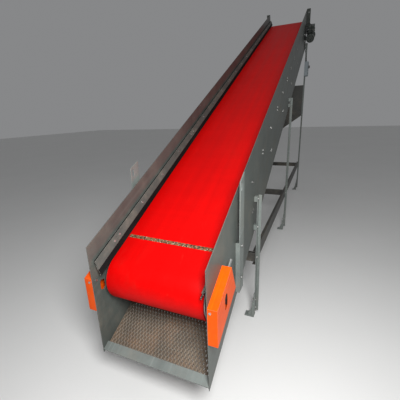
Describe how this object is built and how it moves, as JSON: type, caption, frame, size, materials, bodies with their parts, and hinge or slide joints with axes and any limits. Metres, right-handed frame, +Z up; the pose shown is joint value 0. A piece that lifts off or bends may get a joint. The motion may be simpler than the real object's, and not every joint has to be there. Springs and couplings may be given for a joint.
{
  "type": "belt conveyor section",
  "caption": "Inclined belt conveyor section: slider bed between deep side plates with rubber skirts, drive drum at the head, screw take-up at the tail, on bolted leg frames.",
  "frame": {"origin": "on the floor, under the centre of the whole object", "axes": "+X level from the tail to the head, +Y to the left seen from the tail, +Z up"},
  "size_m": [5.5586, 0.926, 3.5104],
  "materials": {
    "plate_paint": "worn satin",
    "strip_paint": "worn satin",
    "frame_paint": "satin",
    "dark_frame_paint": "satin, dusty",
    "guard_orange": "satin",
    "mesh_steel": "dull, dusty",
    "bed_steel": "polished by the belt",
    "belt_red": "smooth, slightly glossy",
    "lacing_metal": "dull",
    "skirt_rubber": "matt",
    "zinc_plate": "zinc plated",
    "bare_steel": "turned",
    "bearing_iron": "painted",
    "gearbox_paint": "satin",
    "motor_paint": "satin",
    "fan_plastic": "matt",
    "bronze": "machined",
    "cable_rubber": "matt",
    "gland_plastic": "matt",
    "isolator_grey": "fine texture",
    "knob_black": "gloss"
  },
  "bodies": {
    "frame": {"side_plate_left": "plate_paint", "side_plate_right": "plate_paint", "tail_crossbar": "frame_paint", "belly_mesh": "mesh_steel", "belly_angles": "dark_frame_paint", "slider_bed": "bed_steel", "bed_cross_members": "dark_frame_paint", "plate_bolts": "zinc_plate", "skirt_strips_left": "strip_paint", "skirt_strips_right": "strip_paint", "skirt_rubber_left": "skirt_rubber", "skirt_rubber_right": "skirt_rubber", "skirt_cleats": "strip_paint", "skirt_bolts": "zinc_plate", "belt": "belt_red", "belt_lacing": "lacing_metal", "take_up_frames": "dark_frame_paint", "take_up_nuts": "zinc_plate", "tail_guard_left": "guard_orange", "tail_guard_right": "guard_orange", "guard_clips": "dark_frame_paint", "guard_bolts": "zinc_plate", "head_bearings": "bearing_iron", "bearing_bolts": "zinc_plate", "gearbox_housing": "gearbox_paint", "motor_frame": "motor_paint", "fan_cowl": "motor_paint", "terminal_box": "motor_paint", "torque_arm": "dark_frame_paint", "cable_glands": "gland_plastic", "motor_cable": "cable_rubber", "cable_clips": "zinc_plate", "isolator_box": "isolator_grey", "roller_shafts": "bare_steel", "roller_hangers": "dark_frame_paint", "lug_posts": "frame_paint", "legs_tail_end": "frame_paint", "legs_middle": "frame_paint", "legs_head_end": "frame_paint", "adjustable_feet": "frame_paint", "tie_rails": "dark_frame_paint", "leg_cross_members": "frame_paint", "frame_bolts": "zinc_plate", "bracing_panel": "dark_frame_paint"},
    "head_pulley": {"head_drum": "bare_steel", "head_shaft": "bare_steel", "worm_wheel": "bronze"},
    "tail_carriage": {"take_up_blocks": "bearing_iron", "take_up_screws": "zinc_plate"},
    "tail_pulley": {"tail_drum": "bare_steel", "tail_shaft": "bare_steel"},
    "motor_rotor": {"rotor_shaft": "bare_steel", "cooling_fan": "fan_plastic"},
    "knob": {"isolator_knob": "knob_black"},
    "roller_1": {"return_roller_1": "zinc_plate"},
    "roller_2": {"return_roller_2": "zinc_plate"},
    "roller_3": {"return_roller_3": "zinc_plate"},
    "roller_4": {"return_roller_4": "zinc_plate"},
    "roller_5": {"return_roller_5": "zinc_plate"},
    "roller_6": {"return_roller_6": "zinc_plate"}
  },
  "joints": [
    {"name": "head_pulley_spin", "type": "hinge", "parent": "frame", "child": "head_pulley", "pos_m": [2.57154, 0.058, 3.15411], "axis": [0, 1, 0], "continuous": true},
    {"name": "take_up_slide", "type": "slide", "parent": "frame", "child": "tail_carriage", "axis": [0.9063, 0, 0.4226], "range_m": [0, 0.05]},
    {"name": "tail_pulley_spin", "type": "hinge", "parent": "tail_carriage", "child": "tail_pulley", "pos_m": [-2.56904, 0.058, 0.75702], "axis": [0, 1, 0], "continuous": true},
    {"name": "motor_spin", "type": "hinge", "parent": "frame", "child": "motor_rotor", "pos_m": [2.51261, -0.387, 3.04387], "axis": [0.9063, 0, 0.4226], "continuous": true},
    {"name": "isolator_turn", "type": "hinge", "parent": "frame", "child": "knob", "pos_m": [2.50387, -0.384, 2.495], "axis": [0, -1, 0], "range_deg": [0, 90]},
    {"name": "roller_1_spin", "type": "hinge", "parent": "frame", "child": "roller_1", "pos_m": [-1.80652, 0.058, 0.91773], "axis": [0, 1, 0], "continuous": true},
    {"name": "roller_2_spin", "type": "hinge", "parent": "frame", "child": "roller_2", "pos_m": [-1.04975, 0.058, 1.27062], "axis": [0, 1, 0], "continuous": true},
    {"name": "roller_3_spin", "type": "hinge", "parent": "frame", "child": "roller_3", "pos_m": [-0.29298, 0.058, 1.6235], "axis": [0, 1, 0], "continuous": true},
    {"name": "roller_4_spin", "type": "hinge", "parent": "frame", "child": "roller_4", "pos_m": [0.46379, 0.058, 1.97639], "axis": [0, 1, 0], "continuous": true},
    {"name": "roller_5_spin", "type": "hinge", "parent": "frame", "child": "roller_5", "pos_m": [1.22055, 0.058, 2.32927], "axis": [0, 1, 0], "continuous": true},
    {"name": "roller_6_spin", "type": "hinge", "parent": "frame", "child": "roller_6", "pos_m": [1.97732, 0.058, 2.68216], "axis": [0, 1, 0], "continuous": true}
  ],
  "couplings": [
    {"joint": "tail_pulley_spin", "follows": "head_pulley_spin", "ratio": 1},
    {"joint": "motor_spin", "follows": "head_pulley_spin", "ratio": 30},
    {"joint": "roller_1_spin", "follows": "head_pulley_spin", "ratio": -4.7433},
    {"joint": "roller_2_spin", "follows": "head_pulley_spin", "ratio": -4.7433},
    {"joint": "roller_3_spin", "follows": "head_pulley_spin", "ratio": -4.7433},
    {"joint": "roller_4_spin", "follows": "head_pulley_spin", "ratio": -4.7433},
    {"joint": "roller_5_spin", "follows": "head_pulley_spin", "ratio": -4.7433},
    {"joint": "roller_6_spin", "follows": "head_pulley_spin", "ratio": -4.7433}
  ]
}
